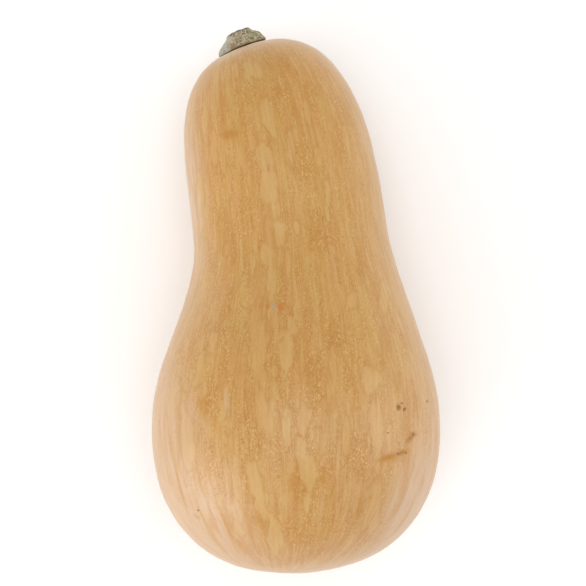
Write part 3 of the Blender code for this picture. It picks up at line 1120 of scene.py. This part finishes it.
# %% Scattered dots and smudges
SCATTER_CELL, SCATTER_RADIUS = 0.011, 0.0006


def dotted(tree, vector, cell, radius, share):
    """A mask of dots on a material."""
    inputs = {"Vector": vector, "Cell": cell, "Radius": radius, "Share": share}
    return stamp(tree, dots, inputs)["Mask"]


scattered = dotted(tree, in_space, SCATTER_CELL, SCATTER_RADIUS, 0.22)
smudged = streak(0.004, 0.004, 0.70, 0.80, detail=3.0, shift=21.0)["Mask"]
colour = lay(tree, colour, (smudged, 0.5, SMUDGE), (scattered, 0.6, BRUISE))
print("one dot at most in", SCATTER_CELL, "m of skin")

# %% [markdown]
# ## The two ends of the skin
# Round the stalk the skin is pale and smooth, and right under it lies a brown seam that is mostly
# painted shadow of the stalk's foot. At the other end, where the flower sat, a corky brown scar is
# left. The grain's second number says how far a point is from the scar, so both can be cut from it.

# %% Scar and rim
RIM_PALE = under_wax(224, 190, 150)
# brown of the painted seam shadow under the stalk, and of the scar's rim
SEAM_SHADOW_AND_SCAR_BROWN = under_wax(138, 105, 58)
SCAR_CORK = under_wax(150, 116, 80)
SEAT_RUFFLE, SCAR_RUFFLE = 0.003, 0.008
SCAR_INSIDE, SCAR_OUTSIDE = 0.0084, 0.0096
CRUMB_CELL, CRUMB_RADIUS = 0.0013, 0.0008
seat_edge = skin_run[-1] - SEAT_RADIUS

torn = node(tree, "ShaderNodeTexNoise", {"Vector": in_space, "Scale": 260.0, "Detail": 4.0})
to_seat = sums(tree, "MULTIPLY_ADD", torn.outputs[0], SEAT_RUFFLE, run_along)
pale_rim = ramp(tree, to_seat, seat_edge - 0.004, seat_edge + 0.0015)
# painted shadow: a brown seam right under the stalk, mostly the shade of its foot
painted_seam_shadow = ramp(tree, to_seat, seat_edge + 0.0012, seat_edge + 0.0030)
from_scar = sums(tree, "MULTIPLY_ADD", torn.outputs[0], SCAR_RUFFLE, run_along)
scar = ramp(tree, from_scar, SCAR_OUTSIDE, SCAR_INSIDE)
scar_edge = scale(tree, ramp(tree, from_scar, 0.0066, 0.0082), scar)
crumbs = scale(tree, dotted(tree, in_space, CRUMB_CELL, CRUMB_RADIUS, 0.6), scar)
colour = lay(
    tree,
    colour,
    (pale_rim, 0.45, RIM_PALE),
    (painted_seam_shadow, 1.0, SEAM_SHADOW_AND_SCAR_BROWN),
    (scar, 0.90, SCAR_CORK),
    (scar_edge, 0.70, SEAM_SHADOW_AND_SCAR_BROWN),
    (crumbs, 0.70, DARK_CORK),
)
print("the skin ends", round(seat_edge, 4), "m from the blossom pole")

# %% [markdown]
# The wax makes the rind satin rather than glossy. Its light is spread by a high roughness, a
# little smoother on the leaves and dull on cork, under a thin clear coat that whitens the edges.
# Where the skin is scratched or corky the wax is gone, and so is the coat. The bump is tiny: the
# flecks stand up like grains of cork, and the lines lie like brush strokes.

# %% Gloss and bump of the rind
RIND_BUMP = 0.00006
SKIN_ROUGH, LEAF_ROUGH, CORK_ROUGH = 0.50, 0.43, 0.80
COAT, COAT_ON_CORK, COAT_ROUGH = 0.45, 0.05, 0.35
SHEEN, SHEEN_ROUGH = 0.15, 0.5

relief = scale(tree, fleck_here, 0.45)
for mask, rise in ((lines, -0.25), (crumbs, 2.5), (scar, 1.5), (cork, -1.5)):
    relief = sums(tree, "MULTIPLY_ADD", mask, rise, relief)
gloss = ramp(tree, smooth_skin, 0.0, 1.0, SKIN_ROUGH, LEAF_ROUGH)
dull = most(tree, cork, scratched, bruised, scar, painted_seam_shadow)
coat = ramp(tree, dull, 0.0, 1.0, COAT, COAT_ON_CORK)
gloss = most(tree, gloss, scale(tree, dull, CORK_ROUGH))
shader = tree.nodes["Principled BSDF"]
tree.links.new(coat, shader.inputs["Coat Weight"])
shader.inputs["Coat Roughness"].default_value = COAT_ROUGH
shader.inputs["Sheen Weight"].default_value = SHEEN
shader.inputs["Sheen Roughness"].default_value = SHEEN_ROUGH
dress(fruit, rind, colour, gloss, relief, RIND_BUMP)

# %% [markdown]
# ## The dry stalk
# The stub is weathered: grey on one flank, then a smooth fold, tan and corky in front, and olive
# where the last lobe is still a little alive. Its cut rim is dark, and at its foot a brown seam,
# mostly painted shadow, is darker towards the skin. The colours change from side to side, so they
# are read across the stem, in its own upright frame.

# %% Stem colours
FLANK_GREY = from_screen(186, 180, 164)
FOLD_BROWN = from_screen(150, 122, 82)
FOLD_PALE = from_screen(196, 180, 152)
FRONT_TAN = from_screen(182, 164, 128)
LOBE_OLIVE = from_screen(166, 158, 116)
RIM_DARK = from_screen(108, 100, 76)
PITH_DARK = from_screen(146, 128, 98)
CRACK_DARK = from_screen(104, 88, 58)
LUMP_PALE = from_screen(212, 202, 172)
# brown of the painted shadow at the stem's foot, and of its pores
FOOT_SHADOW_AND_PORE_BROWN = from_screen(140, 110, 66)

stalk = bpy.data.materials.new("dry stalk")
stalk.use_nodes = True
tree = stalk.node_tree
in_space = node(tree, "ShaderNodeTexCoord").outputs["Object"]
from_foot = vectors(tree, "SUBTRACT", in_space, tuple(STEM_PLACE))
upright = node(
    tree,
    "ShaderNodeVectorRotate",
    {"Vector": from_foot, "Rotation": tuple(STEM_TURN)},
    rotation_type="EULER_XYZ",
    invert=True,
).outputs[0]
fibre_way = node(
    tree, "ShaderNodeVectorRotate", {"Vector": upright, "Angle": pi / 2}, rotation_type="X_AXIS"
).outputs[0]


def stalk_streak(width, length, low, high, detail=2.0, waviness=0.5):
    """Streaks that run up the stem."""
    return streaks_on(tree, fibre_way, width, length, low, high, detail, waviness)


fibres = stalk_streak(0.0006, 0.0040, 0.35, 0.65, detail=3.0)["Mask"]
mottle = stalk_streak(0.0008, 0.0011, 0.48, 0.58, waviness=1.0)
cracks = stalk_streak(0.0007, 0.0024, 0.62, 0.70, detail=3.0, waviness=0.8)["Mask"]
pores = dotted(tree, upright, 0.0008, 0.0005, 0.6)
print("stem colours read from", tuple(round(value, 4) for value in STEM_PLACE))

# %% [markdown]
# The layers go from side to side first, then from the broad colour to the cracks, and last the cut
# end, the painted shadow at the foot and the pith, which cover all the rest.

# %% Colours across the stem
sideways, _, upwards = split(tree, upright)
blotches = mottle["Noise"]
across = sums(tree, "ADD", sideways, sums(tree, "MULTIPLY_ADD", blotches, 0.004, -0.002))
up = sums(tree, "MULTIPLY_ADD", blotches, 0.0012, upwards)
fold = mix(tree, ramp(tree, upwards, 0.0030, 0.0042), FOLD_BROWN, FOLD_PALE)
corky = ramp(tree, across, -0.0040, -0.0018, 0.20, 1.0)
cut_end = ramp(tree, up, STEM_HEIGHT - 0.0008, STEM_HEIGHT + 0.0002)
# painted shadow: darker towards the foot, where the stem meets the skin
painted_foot_shadow = ramp(tree, up, 0.0024, 0.0008)
on_plan = vectors(tree, "MULTIPLY", upright, (1, 1, 0))
from_axis = vectors(tree, "DISTANCE", on_plan, (STEM_LEAN, 0, 0))
pith = scale(tree, ramp(tree, from_axis, 0.0042, 0.0034), ramp(tree, upwards, 0.0055, 0.0065))

base = lay(
    tree,
    FLANK_GREY,
    (ramp(tree, across, -0.0058, -0.0048), 1.0, fold),
    (ramp(tree, across, -0.0034, -0.0024), 1.0, FRONT_TAN),
    (ramp(tree, across, 0.0018, 0.0045), 1.0, LOBE_OLIVE),
    (fibres, 0.30, FLANK_GREY),
    (scale(tree, mottle["Mask"], corky), 0.80, CRACK_DARK),
    (scale(tree, ramp(tree, blotches, 0.47, 0.38), corky), 0.60, LUMP_PALE),
    (cracks, 0.80, CRACK_DARK),
    (pores, 0.35, FOOT_SHADOW_AND_PORE_BROWN),
    (cut_end, 1.0, RIM_DARK),
    (painted_foot_shadow, ramp(tree, across, -0.0070, -0.0045, 0.2, 1.0), FOOT_SHADOW_AND_PORE_BROWN),
    (pith, 0.75, PITH_DARK),
)
print("stem coloured up to its rim at", STEM_HEIGHT, "m")

# %% Bump of the stem
STEM_BUMP = 0.0004
STEM_ROUGH, CRACK_ROUGH = 0.78, 0.92
rough = sums(tree, "MULTIPLY_ADD", fibres, 0.6, scale(tree, blotches, 0.8))
rough = sums(tree, "MULTIPLY_ADD", cracks, -1.0, rough)
dry = ramp(tree, cracks, 0.0, 1.0, STEM_ROUGH, CRACK_ROUGH)
dress(stem, stalk, base, dry, rough, STEM_BUMP)

# %% [markdown]
# ## Attach the pieces
# Each new piece rides on the part's one body and stands for its solid, which is hidden.

# %% Finish
for piece, solid, slot in ((fruit, "fruit", "skin"), (stem, "stem", "stem")):
    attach(piece, "root")
    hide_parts(solid)
